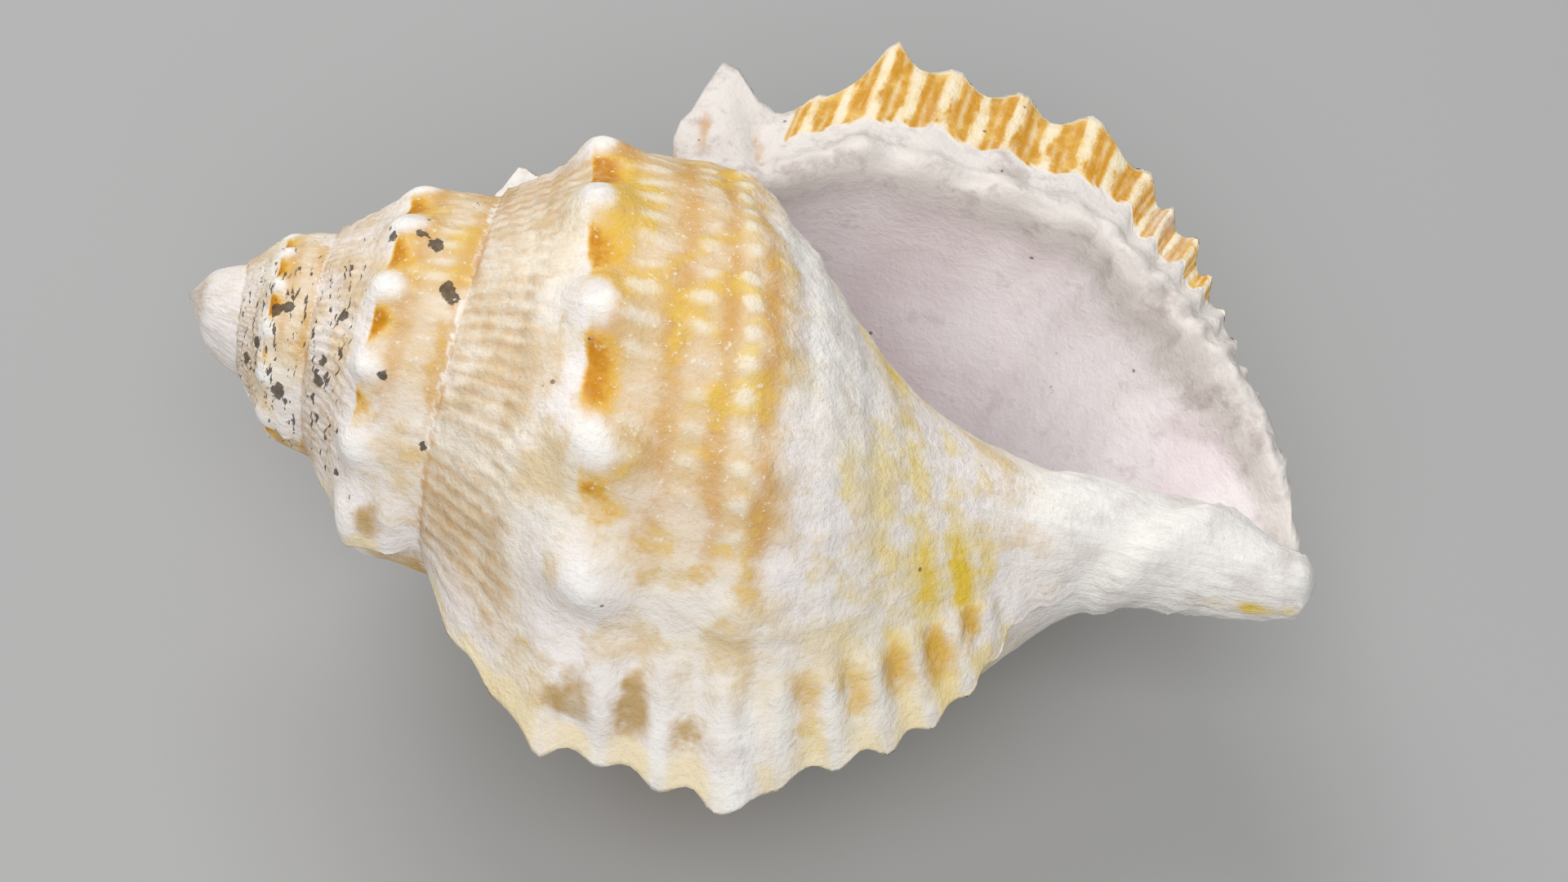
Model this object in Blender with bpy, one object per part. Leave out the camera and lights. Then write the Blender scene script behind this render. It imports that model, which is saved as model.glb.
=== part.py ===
"""A triton shell that lies on a flat surface with its mouth up: one closed solid.

The shell is a helical loft. A section of the outside is swung round the shell's axis and grows as it goes.
Sections are given as (along, out) pairs: millimetres from the apex along the axis, and away from the axis.
`turn` counts whorls back from the finished lip: 0 is the lip, -1 is one whorl earlier, and so on to the apex.
`across` is the place on a section: 0 at the suture above the whorl, 3 at the next suture, 12 at the canal tip.
"""
import bmesh
import bpy
import numpy as np
from math import cos, pi, radians, sin
from mathutils import Matrix, Vector

MM = 0.001

# Driving dimensions, in millimetres
SHELL_LENGTH = 110.0
WALL = 2.7
LIP_WALL = 2.9
KNOB_HEIGHT = 2.6
KNOBS_PER_TURN = 14
FIRST_KNOB = -0.598
# A knob's half length as a share of their spacing, its half width across, how much of it a keel knob is,
# the power that makes early knobs smaller, and the smooth stretch by the mouth in turns
KNOB_LENGTH = 0.27
KNOB_WIDTH = 0.32
KEEL_KNOB = 0.3
KNOB_GROWTH = 1.6
CALLUS = 0.06
WHORLS = 4.5
CAVITY_TURNS = 1.5
CAVITY_STATIONS_PER_TURN = 16
# How far below the suture the cavity's corner lies, on its outer side and on its inner side
CAVITY_CORNER = 1.0
COLUMELLA_CORNER = 0.6
# Turns from the lip to the cavity's own shape, which stops this far short of the canal tip, then this much more
MOUTH_DEPTH = 0.12
CANAL_SHORTER = 3.0
INNER_SHORTER = 1.2
# The wall thins from here to the suture, and it joins the columella up to here and from here on
THIN_TO = 1.3
JOINED_TO = 0.9
CANAL_JOINED = 9.5
# The lip's front swells this far forward, over this many rows, and is hollowed where the posterior canal runs out
LIP_SWELL = 1.3
LIP_ROWS = 4
GROOVE_AT = 0.55
GROOVE_WIDTH = 0.25
GROOVE_DEPTH = 1.7

# The suture, one pair for each whole turn from -6 to +1
SUTURE_TURNS = np.arange(-6, 2)
SUTURE_ALONG = np.array([0.62, 1.31, 2.78, 5.56, 11.7, 25.4, 41.7, 64.1])
SUTURE_OUT = np.array([0.69, 1.39, 2.70, 4.86, 8.65, 15.7, 23.6, 30.9])
SUTURE_SAG = 0.075

# The last whorl below the shoulder, at four quarter turns and the lip:
# keel, three on the base, neck, four on the rostrum, canal tip
LAST_WHORL_TURNS = np.linspace(-1, 0, 5)
LAST_WHORL = np.array([
    [(41.7, 23.6), (46.6, 22.8), (52.8, 18.6), (57.8, 13.4), (64.2, 7.8),
     (71.6, 4.4), (80.4, 3.5), (89.2, 4.3), (99.4, 5.1), (108.1, 1.9)],
    [(47.1, 25.9), (54.0, 25.6), (60.4, 22.0), (65.6, 16.8), (71.8, 11.4),
     (78.2, 8.0), (84.6, 6.4), (92.4, 6.0), (101.1, 5.2), (108.5, 3.2)],
    [(52.5, 28.7), (61.8, 28.4), (68.7, 25.5), (74.5, 20.5), (79.5, 15.1),
     (83.4, 10.2), (88.6, 7.5), (95.0, 6.1), (102.2, 4.9), (108.9, 3.7)],
    [(61.0, 31.3), (71.0, 30.9), (78.0, 27.0), (83.4, 22.0), (87.6, 16.8),
     (91.7, 12.2), (95.9, 9.0), (100.3, 7.1), (104.2, 5.9), (108.5, 4.0)],
    [(69.5, 33.2), (81.1, 32.0), (87.2, 28.8), (92.0, 25.7), (96.0, 22.8),
     (99.3, 19.5), (102.1, 16.5), (104.4, 13.2), (106.3, 9.2), (108.1, 1.9)],
])
LAST = 12
NEXT_SUTURE = 3
SHOULDER = 2
KEEL = 4
# Points between the suture and the keel, as shares of the way down and of the way out
RAMP_DOWN = 0.27
RAMP_OUT = 0.06
SHOULDER_DOWN = np.array([0.56, 0.57, 0.66, 0.64, 0.62])
SHOULDER_OUT = 0.12

# The flared edge of a varix: its height at places across the whorl
FLARE_PLACES = [0, 0.2, 0.35, 0.5, 0.65, 0.8, 1, 1.5, 1.75, 2, 2.25, 2.5,
                3, 3.5, 4, 4.25, 4.5, 5, 5.5, 6, 6.5, 7, 8, 9]
LIP_FLARE = [0, 7.4, 10.4, 14.2, 12.6, 9.6, 8.6, 8.6, 10.8, 14.0, 12.6, 11.3,
             11.6, 11.0, 11.0, 9.0, 8.2, 7.3, 6.5, 4.8, 3.4, 2.3, 0.4, 0]
SIDE_FLARE = [0, 0.4, 0.9, 1.8, 2.9, 4.1, 4.9, 5.6, 6.4, 7.4, 6.3, 5.9,
              6.8, 7.2, 8.2, 6.1, 4.6, 4.3, 4.5, 4.4, 4.2, 3.1, 0.6, 0]
# Each varix: which flare, how large, and the turn of its edge
VARICES = [(LIP_FLARE, 1.0, -0.012), (SIDE_FLARE, 1.0, -0.512), (LIP_FLARE, 0.36, -1.012),
           (SIDE_FLARE, 0.30, -1.512), (LIP_FLARE, 0.10, -2.012), (SIDE_FLARE, 0.06, -2.512)]
# Behind its edge and in front of it, in turns, with the power that hollows each side
FLARE_BACK = 0.075
BACK_HOLLOW = 2.4
FLARE_FRONT = 0.014
FRONT_HOLLOW = 1.6
# Later whorls cover a varix from here down, over this much more
COVERED_FROM = 2.3
COVERED_OVER = 0.6
# Spiral cords run round the whorl this far apart; each ends in a scallop on a varix
CORD_SPACING = 0.6
SCALLOP = 0.05
# A flare this high has no knobs on it
KNOBLESS = 5.0
# How far flares lean along the axis for each step out
FLARE_LEAN = 0.6
LEAST_LEAN = 0.15
FLUTE_LEAN = 0.45

# Stations back from each varix, in turns: close on the flare, then one on each knob and one between
HALF_TURN = [0, 0.012, 0.03, 0.05, 0.07]
HALF_TURN += [-0.5 - FIRST_KNOB + k / (2 * KNOBS_PER_TURN) for k in range(11)] + [0.478]
# Rows across: one on each cord and one between, then wider apart down the rostrum
CORDS = SHOULDER + CORD_SPACING / 2 * np.arange(-6, 18)
PLACES = np.concatenate([[0], CORDS[CORDS < 2.7], [NEXT_SUTURE], CORDS[CORDS > 3.1], [7.5, 8.2, 9, 10, 11, LAST]])

# The pose: which side of the shell faces up, and how far the canal end is raised
UP_TURN = -0.7855
CANAL_RAISED = -5.3
# The knobs that it lies on are worn flat to this depth
WORN_FLAT = 0.5


def through(x, knots, values):
    """A smooth curve through evenly spaced knots."""
    step = knots[1] - knots[0]
    last = len(knots) - 1
    span = np.clip(np.floor((x - knots[0]) / step).astype(int), 0, last - 1)
    f = (x - knots[0]) / step - span
    f = f.reshape(f.shape + (1,) * (values.ndim - 1))
    before = values[np.clip(span - 1, 0, last)]
    here = values[span]
    there = values[span + 1]
    after = values[np.clip(span + 2, 0, last)]
    return hermite(f, here, there, (there - before) / 2, (after - here) / 2)


def hermite(f, here, there, leaving, arriving):
    return ((2 * f**3 - 3 * f**2 + 1) * here + (f**3 - 2 * f**2 + f) * leaving
            + (3 * f**2 - 2 * f**3) * there + (f**3 - f**2) * arriving)


def ease(x):
    x = np.clip(x, 0, 1)
    return x * x * (3 - 2 * x)


def suture(turn):
    """The line where each whorl meets the one before it; it starts at the apex point."""
    along = np.exp(through(turn, SUTURE_TURNS, np.log(SUTURE_ALONG)))
    out = np.exp(through(turn, SUTURE_TURNS, np.log(SUTURE_OUT)))
    along = along * (1 - SUTURE_SAG * (1 - np.cos(2 * pi * turn)))
    grown = np.sin(pi / 2 * np.clip(turn + WHORLS - 1, 0, 1))
    return np.stack([along, out], -1) * grown[..., None]


def outline(turn):
    """The thirteen points that shape the section at each turn."""
    top = suture(turn)
    last = through(np.clip(turn, -1, 0), LAST_WHORL_TURNS, LAST_WHORL)
    smaller = (suture(turn + 1) / LAST_WHORL[0, 0])[..., None, :]
    below = np.where((turn < -1)[..., None, None], LAST_WHORL[0] * smaller, last)
    span = below[..., 0, :] - top
    out = np.stack([-span[..., 1], span[..., 0]], -1)
    ramp = top + RAMP_DOWN * span + RAMP_OUT * out
    down = through(np.clip(turn, -1, 0), LAST_WHORL_TURNS, SHOULDER_DOWN)
    shoulder = top + down[..., None] * span + SHOULDER_OUT * out
    return np.concatenate([np.stack([top, ramp, shoulder], -2), below], -2)


def plain(turn, across):
    """The section without its sculpture: its points and its outward directions."""
    points = outline(turn)
    step = 0.02
    here = along_outline(points, across)
    ahead = along_outline(points, np.clip(across + step, 0, LAST))
    behind = along_outline(points, np.clip(across - step, 0, LAST))
    run = ahead - behind
    out = np.stack([-run[..., 1], run[..., 0]], -1)
    return here, out / np.maximum(np.linalg.norm(out, axis=-1, keepdims=True), 1e-9)


def along_outline(points, across):
    span = np.clip(np.floor(across).astype(int), 0, LAST - 1)

    def pick(index):
        index = np.clip(index, 0, LAST)[..., None, None].repeat(2, -1)
        return np.take_along_axis(points, index, -2)[..., 0, :]

    before, here, there, after = (pick(span + k) for k in (-1, 0, 1, 2))
    return hermite((across - span)[..., None], here, there, (there - before) / 2, (after - here) / 2)


def flare(turn, across):
    """Height of the varices: each rises slowly, peaks at its edge and drops steeply in front."""
    height = np.zeros(np.broadcast(turn, across).shape)
    scallop = 1 + SCALLOP * np.cos(2 * pi * (across - SHOULDER) / CORD_SPACING)
    for edge, size, place in VARICES:
        behind = (1 - np.clip((place - turn) / FLARE_BACK, 0, 1)) ** BACK_HOLLOW
        front = (1 - np.clip((turn - place) / FLARE_FRONT, 0, 1)) ** FRONT_HOLLOW
        shape = np.where(turn < place, behind, front)
        covered = 1 - ease((across - COVERED_FROM) / COVERED_OVER) if place < -1 else 1
        height = np.maximum(height, size * np.interp(across, FLARE_PLACES, edge) * scallop * shape * covered)
    return height


def bump(x, middle, width):
    return np.exp(-((x - middle) / width) ** 2)


def knobs(turn, across, out):
    """Blunt knobs on the shoulder, and a weaker row on the keel below it. The callus by the mouth has none."""
    phase = ((turn - FIRST_KNOB) * KNOBS_PER_TURN) % 1
    near = bump(np.minimum(phase, 1 - phase), 0, KNOB_LENGTH)
    rows = bump(across, SHOULDER, KNOB_WIDTH) + KEEL_KNOB * bump(across, KEEL, KNOB_WIDTH)
    size = np.clip(out / LAST_WHORL[1, 0, 1], 0, 1.1) ** KNOB_GROWTH
    callus = ease((turn + 1) / CALLUS) + (across < NEXT_SUTURE)
    return KNOB_HEIGHT * size * rows * near * np.clip(callus, 0, 1)


def outside(turn, across):
    """The outside of the shell as (along, out). Flares lean towards the canal, and at the suture to the apex."""
    point, out = plain(turn, across)
    lean = FLARE_LEAN * np.clip(out[..., 0], LEAST_LEAN, None) - FLUTE_LEAN * (1 - ease(across))
    rise = np.stack([lean, out[..., 1]], -1)
    rise /= np.maximum(np.linalg.norm(rise, axis=-1, keepdims=True), 1e-9)
    height = flare(turn, across)
    point = point + rise * height[..., None]
    raised = knobs(turn, across, point[..., 1]) * (1 - ease(height / KNOBLESS))
    return point + out * raised[..., None]


def round_axis(turn, point):
    angle = 2 * pi * turn
    along, out = point[..., 0], point[..., 1]
    return np.stack([along + 0 * angle, out * np.cos(angle), out * np.sin(angle)], -1)


def columella(turn, across):
    """The inner side of the cavity: the face that the whorl before left behind."""
    at_lip = (turn > -1e-6)[..., None]
    return np.where(at_lip, outside(turn - 1, across), plain(turn - 1, across)[0])


def inner_wall(turn, across):
    """The outer side of the cavity: the outside moved in by the wall, joined to the columella at both ends."""
    depth = ease(-turn / MOUTH_DEPTH)
    reach = LAST - CANAL_SHORTER * depth - INNER_SHORTER * ease((-turn - 0.1) / 0.4)
    place = across * reach / LAST + CAVITY_CORNER * depth * (1 - across / LAST)
    point, out = plain(turn, place)
    size = np.clip(suture(turn + 1)[..., 1] / LAST_WHORL[0, 0, 1], 0.3, 1)
    thickness = (LIP_WALL + (WALL - LIP_WALL) * depth) * size * ease(place / THIN_TO)
    point = point - out * thickness[..., None]
    start = columella(turn, NEXT_SUTURE + COLUMELLA_CORNER * depth)
    end = columella(turn, np.full(turn.shape, float(LAST)))
    at_start = 1 - ease(across / JOINED_TO)
    at_end = ease((across - CANAL_JOINED) / (LAST - CANAL_JOINED))
    point = point + (start - point) * at_start[..., None]
    return point + (end - point) * at_end[..., None]


def add_sheet(bm, points):
    """A grid rolled into place: rows x columns x 3 points, in millimetres."""
    rows, columns = points.shape[:2]
    grid = bmesh.ops.create_grid(bm, x_segments=columns - 1, y_segments=rows - 1, size=1)
    for vert, point in zip(grid["verts"], points.reshape(-1, 3)):
        vert.co = point


def mesh_of(turns, places, surface):
    turn, across = np.meshgrid(turns, places, indexing="ij")
    return round_axis(turn, surface(turn, across))


def stations(start, end):
    """Turns from start to end that repeat each half turn, so that a suture's two sides share their points."""
    every = np.array([half / 2 - back for half in range(int(2 * start) - 1, 1) for back in HALF_TURN])
    return np.unique(every[(every > start - 1e-6) & (every < end + 1e-6)].round(9))


def shell_mesh():
    bm = bmesh.new()
    spire_places = PLACES[PLACES <= NEXT_SUTURE]
    base_places = PLACES[PLACES >= NEXT_SUTURE]
    last_turns = stations(-1, 0)
    add_sheet(bm, mesh_of(stations(-WHORLS, -1), spire_places, outside))
    add_sheet(bm, mesh_of(last_turns, PLACES, outside))
    add_sheet(bm, cavity(base_places))
    add_sheet(bm, lip())
    add_sheet(bm, canal_tip(last_turns))
    bmesh.ops.remove_doubles(bm, verts=bm.verts, dist=0.0008)
    bmesh.ops.recalc_face_normals(bm, faces=bm.faces)
    return bm


def cavity(base_places):
    """The hollow whorl: rings from the lip inwards that close in a point."""
    turns = np.linspace(-CAVITY_TURNS, 0, int(CAVITY_TURNS * CAVITY_STATIONS_PER_TURN) + 1)
    outer = mesh_of(turns, PLACES, inner_wall)
    turn, across = np.meshgrid(turns, base_places, indexing="ij")
    rounded = NEXT_SUTURE + COLUMELLA_CORNER * ease(-turn / MOUTH_DEPTH)
    across = rounded + (across - NEXT_SUTURE) * (LAST - rounded) / (LAST - NEXT_SUTURE)
    inner = round_axis(turn, columella(turn, across))
    rings = np.concatenate([outer, inner[:, ::-1][:, 1:]], 1)
    rings[0] = rings[0].mean(0)
    return rings


def lip():
    """The thick front of the lip, from its outer edge in to the cavity, grooved where the posterior canal is."""
    zero = np.zeros(len(PLACES))
    outer = outside(zero, PLACES)
    inner = inner_wall(zero, PLACES)
    groove = 1 - GROOVE_DEPTH * bump(PLACES, GROOVE_AT, GROOVE_WIDTH)
    ends = ease(PLACES / 0.7) * ease((LAST - PLACES) / 2)
    rows = []
    for step in np.linspace(0, 1, LIP_ROWS):
        point = outer + (inner - outer) * step
        forward = LIP_SWELL * sin(pi * step) * groove * ends
        rows.append(round_axis(forward / (2 * pi * point[:, 1]), point))
    return np.array(rows)


def canal_tip(turns):
    """The closed end of the rostrum."""
    ring = round_axis(turns, outside(turns, np.full(turns.shape, float(LAST))))
    tip = np.zeros_like(ring)
    tip[:, 0] = SHELL_LENGTH
    return np.array([ring, tip])


def lay_down(bm):
    """Lay the shell with its mouth up, stand its lowest point on z = 0 and centre it."""
    angle = 2 * pi * UP_TURN
    up = Vector((0, cos(angle), sin(angle)))
    axis = Vector((1, 0, 0))
    side = up.cross(axis)
    turned = Matrix.Rotation(radians(-CANAL_RAISED), 4, "Y") @ Matrix((axis, side, up)).to_4x4()
    bm.transform(turned)
    wear_flat(bm)
    points = np.array([vert.co for vert in bm.verts])
    low, high = points.min(0), points.max(0)
    centre = (low + high) / 2
    bm.transform(Matrix.Scale(MM, 4) @ Matrix.Translation((-centre[0], -centre[1], -low[2])))


def wear_flat(bm):
    """Grind the lowest knobs to one plane, which is what the shell rests on."""
    lowest = min(vert.co.z for vert in bm.verts)
    every = list(bm.verts) + list(bm.edges) + list(bm.faces)
    plane = (0, 0, lowest + WORN_FLAT)
    cut = bmesh.ops.bisect_plane(bm, geom=every, dist=1e-4, plane_co=plane, plane_no=(0, 0, -1), clear_outer=True)
    rims = [item for item in cut["geom_cut"] if isinstance(item, bmesh.types.BMEdge)]
    bmesh.ops.holes_fill(bm, edges=rims, sides=0)
    bmesh.ops.recalc_face_normals(bm, faces=bm.faces)


def shell_material():
    material = bpy.data.materials.new("weathered_shell")
    material.use_nodes = True
    finish = material.node_tree.nodes["Principled BSDF"]
    finish.inputs["Base Color"].default_value = (0.80, 0.66, 0.44, 1)
    finish.inputs["Roughness"].default_value = 0.55
    finish.inputs["Metallic"].default_value = 0.0
    return material


for thing in list(bpy.data.objects):
    bpy.data.objects.remove(thing, do_unlink=True)

collection = bpy.data.collections.new("triton_shell")
bpy.context.scene.collection.children.link(collection)
mesh = bpy.data.meshes.new("shell")
form = shell_mesh()
lay_down(form)
form.to_mesh(mesh)
form.free()
mesh.shade_smooth()
mesh.materials.append(shell_material())
collection.objects.link(bpy.data.objects.new("shell", mesh))
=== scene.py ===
import bmesh
import bpy
import numpy as np
from math import cos, pi, radians, sin
from mathutils import Matrix, Vector


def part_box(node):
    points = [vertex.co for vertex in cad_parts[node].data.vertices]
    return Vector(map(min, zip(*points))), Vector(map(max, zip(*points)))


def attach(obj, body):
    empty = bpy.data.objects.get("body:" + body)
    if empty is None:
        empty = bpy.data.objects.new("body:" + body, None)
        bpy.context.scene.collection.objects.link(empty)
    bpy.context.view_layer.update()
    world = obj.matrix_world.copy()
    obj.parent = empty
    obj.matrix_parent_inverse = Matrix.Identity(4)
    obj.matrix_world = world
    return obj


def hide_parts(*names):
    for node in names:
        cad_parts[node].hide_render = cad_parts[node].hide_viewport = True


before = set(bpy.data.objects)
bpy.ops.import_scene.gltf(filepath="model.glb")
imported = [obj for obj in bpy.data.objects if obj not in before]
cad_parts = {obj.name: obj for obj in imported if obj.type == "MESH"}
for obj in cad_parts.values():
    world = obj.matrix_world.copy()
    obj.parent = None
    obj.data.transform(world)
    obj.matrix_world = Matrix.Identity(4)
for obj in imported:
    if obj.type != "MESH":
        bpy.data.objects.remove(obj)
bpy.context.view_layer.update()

# The shell's form.
# One piece of aragonite that the animal laid down whorl by whorl, here a section swung round its axis. Places
# are (along, out) pairs in mm from the apex. `turn` counts whorls back from the lip; `across` runs over one
# whorl: 0 suture, 2 shoulder, 3 next suture, 12 canal tip.
MM = 0.001
SHELL_LENGTH = 110.0
WHORLS = 4.5
LAST = 12
NEXT_SUTURE = 3
SHOULDER = 2
KEEL = 4
# The suture at each whole turn, in mm along the axis and out from it
SUTURE_TURNS = np.arange(-6, 2)
SUTURE_ALONG = np.array([0.62, 1.31, 2.78, 5.56, 11.7, 25.4, 41.7, 64.1])
SUTURE_OUT = np.array([0.69, 1.39, 2.70, 4.86, 8.65, 15.7, 23.6, 30.9])
SUTURE_SAG = 0.075
# The last whorl's section from the next suture to the canal's tip, at each quarter turn
LAST_WHORL_TURNS = np.linspace(-1, 0, 5)
LAST_WHORL = np.array([
    [(41.7, 23.6), (46.6, 22.8), (52.8, 18.6), (57.8, 13.4), (64.2, 7.8),
     (71.6, 4.4), (80.4, 3.5), (89.2, 4.3), (99.4, 5.1), (108.1, 1.9)],
    [(47.1, 25.9), (54.0, 25.6), (60.4, 22.0), (65.6, 16.8), (71.8, 11.4),
     (78.2, 8.0), (84.6, 6.4), (92.4, 6.0), (101.1, 5.2), (108.5, 3.2)],
    [(52.5, 28.7), (61.8, 28.4), (68.7, 25.5), (74.5, 20.5), (79.5, 15.1),
     (83.4, 10.2), (88.6, 7.5), (95.0, 6.1), (102.2, 4.9), (108.9, 3.7)],
    [(61.0, 31.3), (71.0, 30.9), (78.0, 27.0), (83.4, 22.0), (87.6, 16.8),
     (91.7, 12.2), (95.9, 9.0), (100.3, 7.1), (104.2, 5.9), (108.5, 4.0)],
    [(69.5, 33.2), (81.1, 32.0), (87.2, 28.8), (92.0, 25.7), (96.0, 22.8),
     (99.3, 19.5), (102.1, 16.5), (104.4, 13.2), (106.3, 9.2), (108.1, 1.9)],
])
# Where the ramp's middle and the shoulder stand, as shares of the line between two sutures
RAMP_DOWN = 0.27
RAMP_OUT = 0.06
SHOULDER_DOWN = np.array([0.56, 0.57, 0.66, 0.64, 0.62])
SHOULDER_OUT = 0.12
# How far across either side of a point its direction is measured
NEARBY = 0.02


def hermite(f, here, there, leaving, arriving):
    return ((2 * f**3 - 3 * f**2 + 1) * here + (f**3 - 2 * f**2 + f) * leaving
            + (3 * f**2 - 2 * f**3) * there + (f**3 - f**2) * arriving)


def through(x, knots, values):
    """A smooth curve through evenly spaced knots."""
    step = knots[1] - knots[0]
    last = len(knots) - 1
    span = np.clip(np.floor((x - knots[0]) / step).astype(int), 0, last - 1)
    f = (x - knots[0]) / step - span
    f = f.reshape(f.shape + (1,) * (values.ndim - 1))
    before = values[np.clip(span - 1, 0, last)]
    after = values[np.clip(span + 2, 0, last)]
    here, there = values[span], values[span + 1]
    return hermite(f, here, there, (there - before) / 2, (after - here) / 2)


def suture(turn):
    along = np.exp(through(turn, SUTURE_TURNS, np.log(SUTURE_ALONG)))
    out = np.exp(through(turn, SUTURE_TURNS, np.log(SUTURE_OUT)))
    along = along * (1 - SUTURE_SAG * (1 - np.cos(2 * pi * turn)))
    grown = np.sin(pi / 2 * np.clip(turn + WHORLS - 1, 0, 1))
    return np.stack([along, out], -1) * grown[..., None]


def outline(turn):
    """The thirteen points that shape the section at each turn."""
    top = suture(turn)
    last = through(np.clip(turn, -1, 0), LAST_WHORL_TURNS, LAST_WHORL)
    smaller = (suture(turn + 1) / LAST_WHORL[0, 0])[..., None, :]
    below = np.where((turn < -1)[..., None, None], LAST_WHORL[0] * smaller, last)
    span = below[..., 0, :] - top
    out = np.stack([-span[..., 1], span[..., 0]], -1)
    ramp = top + RAMP_DOWN * span + RAMP_OUT * out
    down = through(np.clip(turn, -1, 0), LAST_WHORL_TURNS, SHOULDER_DOWN)
    shoulder = top + down[..., None] * span + SHOULDER_OUT * out
    return np.concatenate([np.stack([top, ramp, shoulder], -2), below], -2)


def along_outline(points, across):
    span = np.clip(np.floor(across).astype(int), 0, LAST - 1)

    def pick(index):
        index = np.clip(index, 0, LAST)[..., None, None].repeat(2, -1)
        return np.take_along_axis(points, index, -2)[..., 0, :]

    before, here, there, after = (pick(span + k) for k in (-1, 0, 1, 2))
    return hermite((across - span)[..., None], here, there, (there - before) / 2, (after - here) / 2)


def plain(turn, across):
    """The section without its sculpture: its points and its outward directions."""
    points = outline(turn)
    ahead = along_outline(points, np.clip(across + NEARBY, 0, LAST))
    behind = along_outline(points, np.clip(across - NEARBY, 0, LAST))
    run = ahead - behind
    out = np.stack([-run[..., 1], run[..., 0]], -1)
    return along_outline(points, across), out / np.maximum(np.linalg.norm(out, axis=-1, keepdims=True), 1e-9)


# The sculpture.
# Flared varices stand where the animal stopped growing, knobs sit on the shoulder, and beaded spiral cords
# and slanting growth wrinkles cover the rest. All of it is shell, so it is moved out of the plain section.
# How far the varices flare, in mm, across the whorl
FLARE_PLACES = [0, 0.2, 0.35, 0.5, 0.56, 0.65, 0.8, 1, 1.5, 1.75, 2, 2.25, 2.5,
                3, 3.5, 4, 4.25, 4.5, 5, 5.5, 6, 6.5, 7, 8, 9]
LIP_FLARE = [0, 7.0, 9.2, 14.4, 17.0, 12.6, 9.0, 8.6, 8.6, 10.8, 14.0, 12.6, 11.3,
             11.6, 11.0, 11.0, 9.0, 8.2, 7.3, 6.5, 4.8, 3.4, 2.3, 0.4, 0]
SIDE_FLARE = [0, 0.4, 0.9, 1.8, 2.2, 2.9, 4.1, 4.9, 5.6, 6.4, 7.4, 6.3, 5.9,
              6.8, 7.2, 8.2, 6.1, 4.6, 4.3, 4.5, 4.4, 4.2, 3.1, 0.6, 0]
LIP_EDGE = -0.012
# Each varix: its flare, its size and the turn of its edge
VARICES = [(LIP_FLARE, 1.0, LIP_EDGE), (SIDE_FLARE, 1.0, -0.512), (LIP_FLARE, 0.36, -1.012),
           (SIDE_FLARE, 0.30, -1.512), (LIP_FLARE, 0.10, -2.012), (SIDE_FLARE, 0.06, -2.512)]
# How long a varix's back and front are, in turns, and how hollow
FLARE_BACK = 0.075
BACK_HOLLOW = 2.4
FLARE_FRONT = 0.014
FRONT_HOLLOW = 1.6
# A varix this high, in mm, counts as a whole one
WHOLE_VARIX = 1.5
COVERED_FROM = 2.3
COVERED_OVER = 0.6
KNOBLESS = 5.0
FLARE_LEAN = 0.6
LEAST_LEAN = 0.15
FLUTE_LEAN = 0.45
KNOB_HEIGHT = 2.6
KNOBS_PER_TURN = 14
FIRST_KNOB = -0.598
KNOB_LENGTH = 0.29
KNOB_WIDTH = 0.38
KEEL_KNOB = 0.3
KNOB_GROWTH = 1.6
# The knobs are smoothed away over this much of a turn beside the mouth
CALLUS = 0.06
CALLUS_ENDS = -0.975
CALLUS_FADE = 0.05
CREASE_AT = 0.70
CREASE_RUN = 0.38
CREASE_WIDTH = 0.09
# The shoulder's knobs stand this much lower across the whorl near the side varix
SHOULDER_DROP = 0.40
DROP_STARTS = -0.87
DROP_ENDS = -0.5
CORD_SPACING = 0.6
SCALLOP = 0.05
BEADS_PER_TURN = 56
# How far each row of beads lags behind the row above it, in turns for one step across
GROWTH_SLANT = 0.006
RAMP_FOLDS_PER_TURN = 84
# Heights of the fine relief, in mm
CORD_HEIGHT = 0.42
THREAD_HEIGHT = 0.10
FOLD_HEIGHT = 0.55
RAMP_THREAD_HEIGHT = 0.20
LUMP_HEIGHT = 0.16
RIPPLE_HEIGHT = 0.17
ROSTRUM_WRINKLES = 0.75
RIB_HEIGHT = 1.1
CREASE_DEPTH = 1.1


def ease(x):
    x = np.clip(x, 0, 1)
    return x * x * (3 - 2 * x)


def bump(x, middle, width):
    return np.exp(-((x - middle) / width) ** 2)


def wave(x, spacing):
    """1 at every multiple of the spacing and 0 halfway between."""
    return 0.5 + 0.5 * np.cos(2 * pi * x / spacing)


def ripple(x, y, seed, octaves=4):
    """Seeded smooth noise of about -1 to 1, made of crossing waves."""
    rng = np.random.default_rng(seed)
    total = 0
    for octave in range(octaves):
        for _ in range(3):
            angle, phase = rng.uniform(0, 2 * pi, 2)
            total = total + np.sin((x * cos(angle) + y * sin(angle)) * 1.9**octave + phase) / 1.5**octave
    return total / 3.2


def varix(turn, across):
    """Height of the varices in mm, how much of its full height that is, and whether it is a front."""
    height = np.zeros(np.broadcast(turn, across).shape)
    share = np.zeros(height.shape)
    front = np.zeros(height.shape)
    scallop = 1 + SCALLOP * np.cos(2 * pi * (across - SHOULDER) / CORD_SPACING)
    for edge, size, place in VARICES:
        behind = (1 - np.clip((place - turn) / FLARE_BACK, 0, 1)) ** BACK_HOLLOW
        before = (1 - np.clip((turn - place) / FLARE_FRONT, 0, 1)) ** FRONT_HOLLOW
        shape = np.where(turn < place, behind, before)
        covered = 1 - ease((across - COVERED_FROM) / COVERED_OVER) if place < -1 else 1
        full = size * np.interp(across, FLARE_PLACES, edge) * scallop * covered
        height = np.maximum(height, full * shape)
        here = shape * np.clip(full / WHOLE_VARIX, 0, 1)
        front = np.where(here > share, turn > place, front)
        share = np.maximum(share, here)
    return height, share, front


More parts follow.
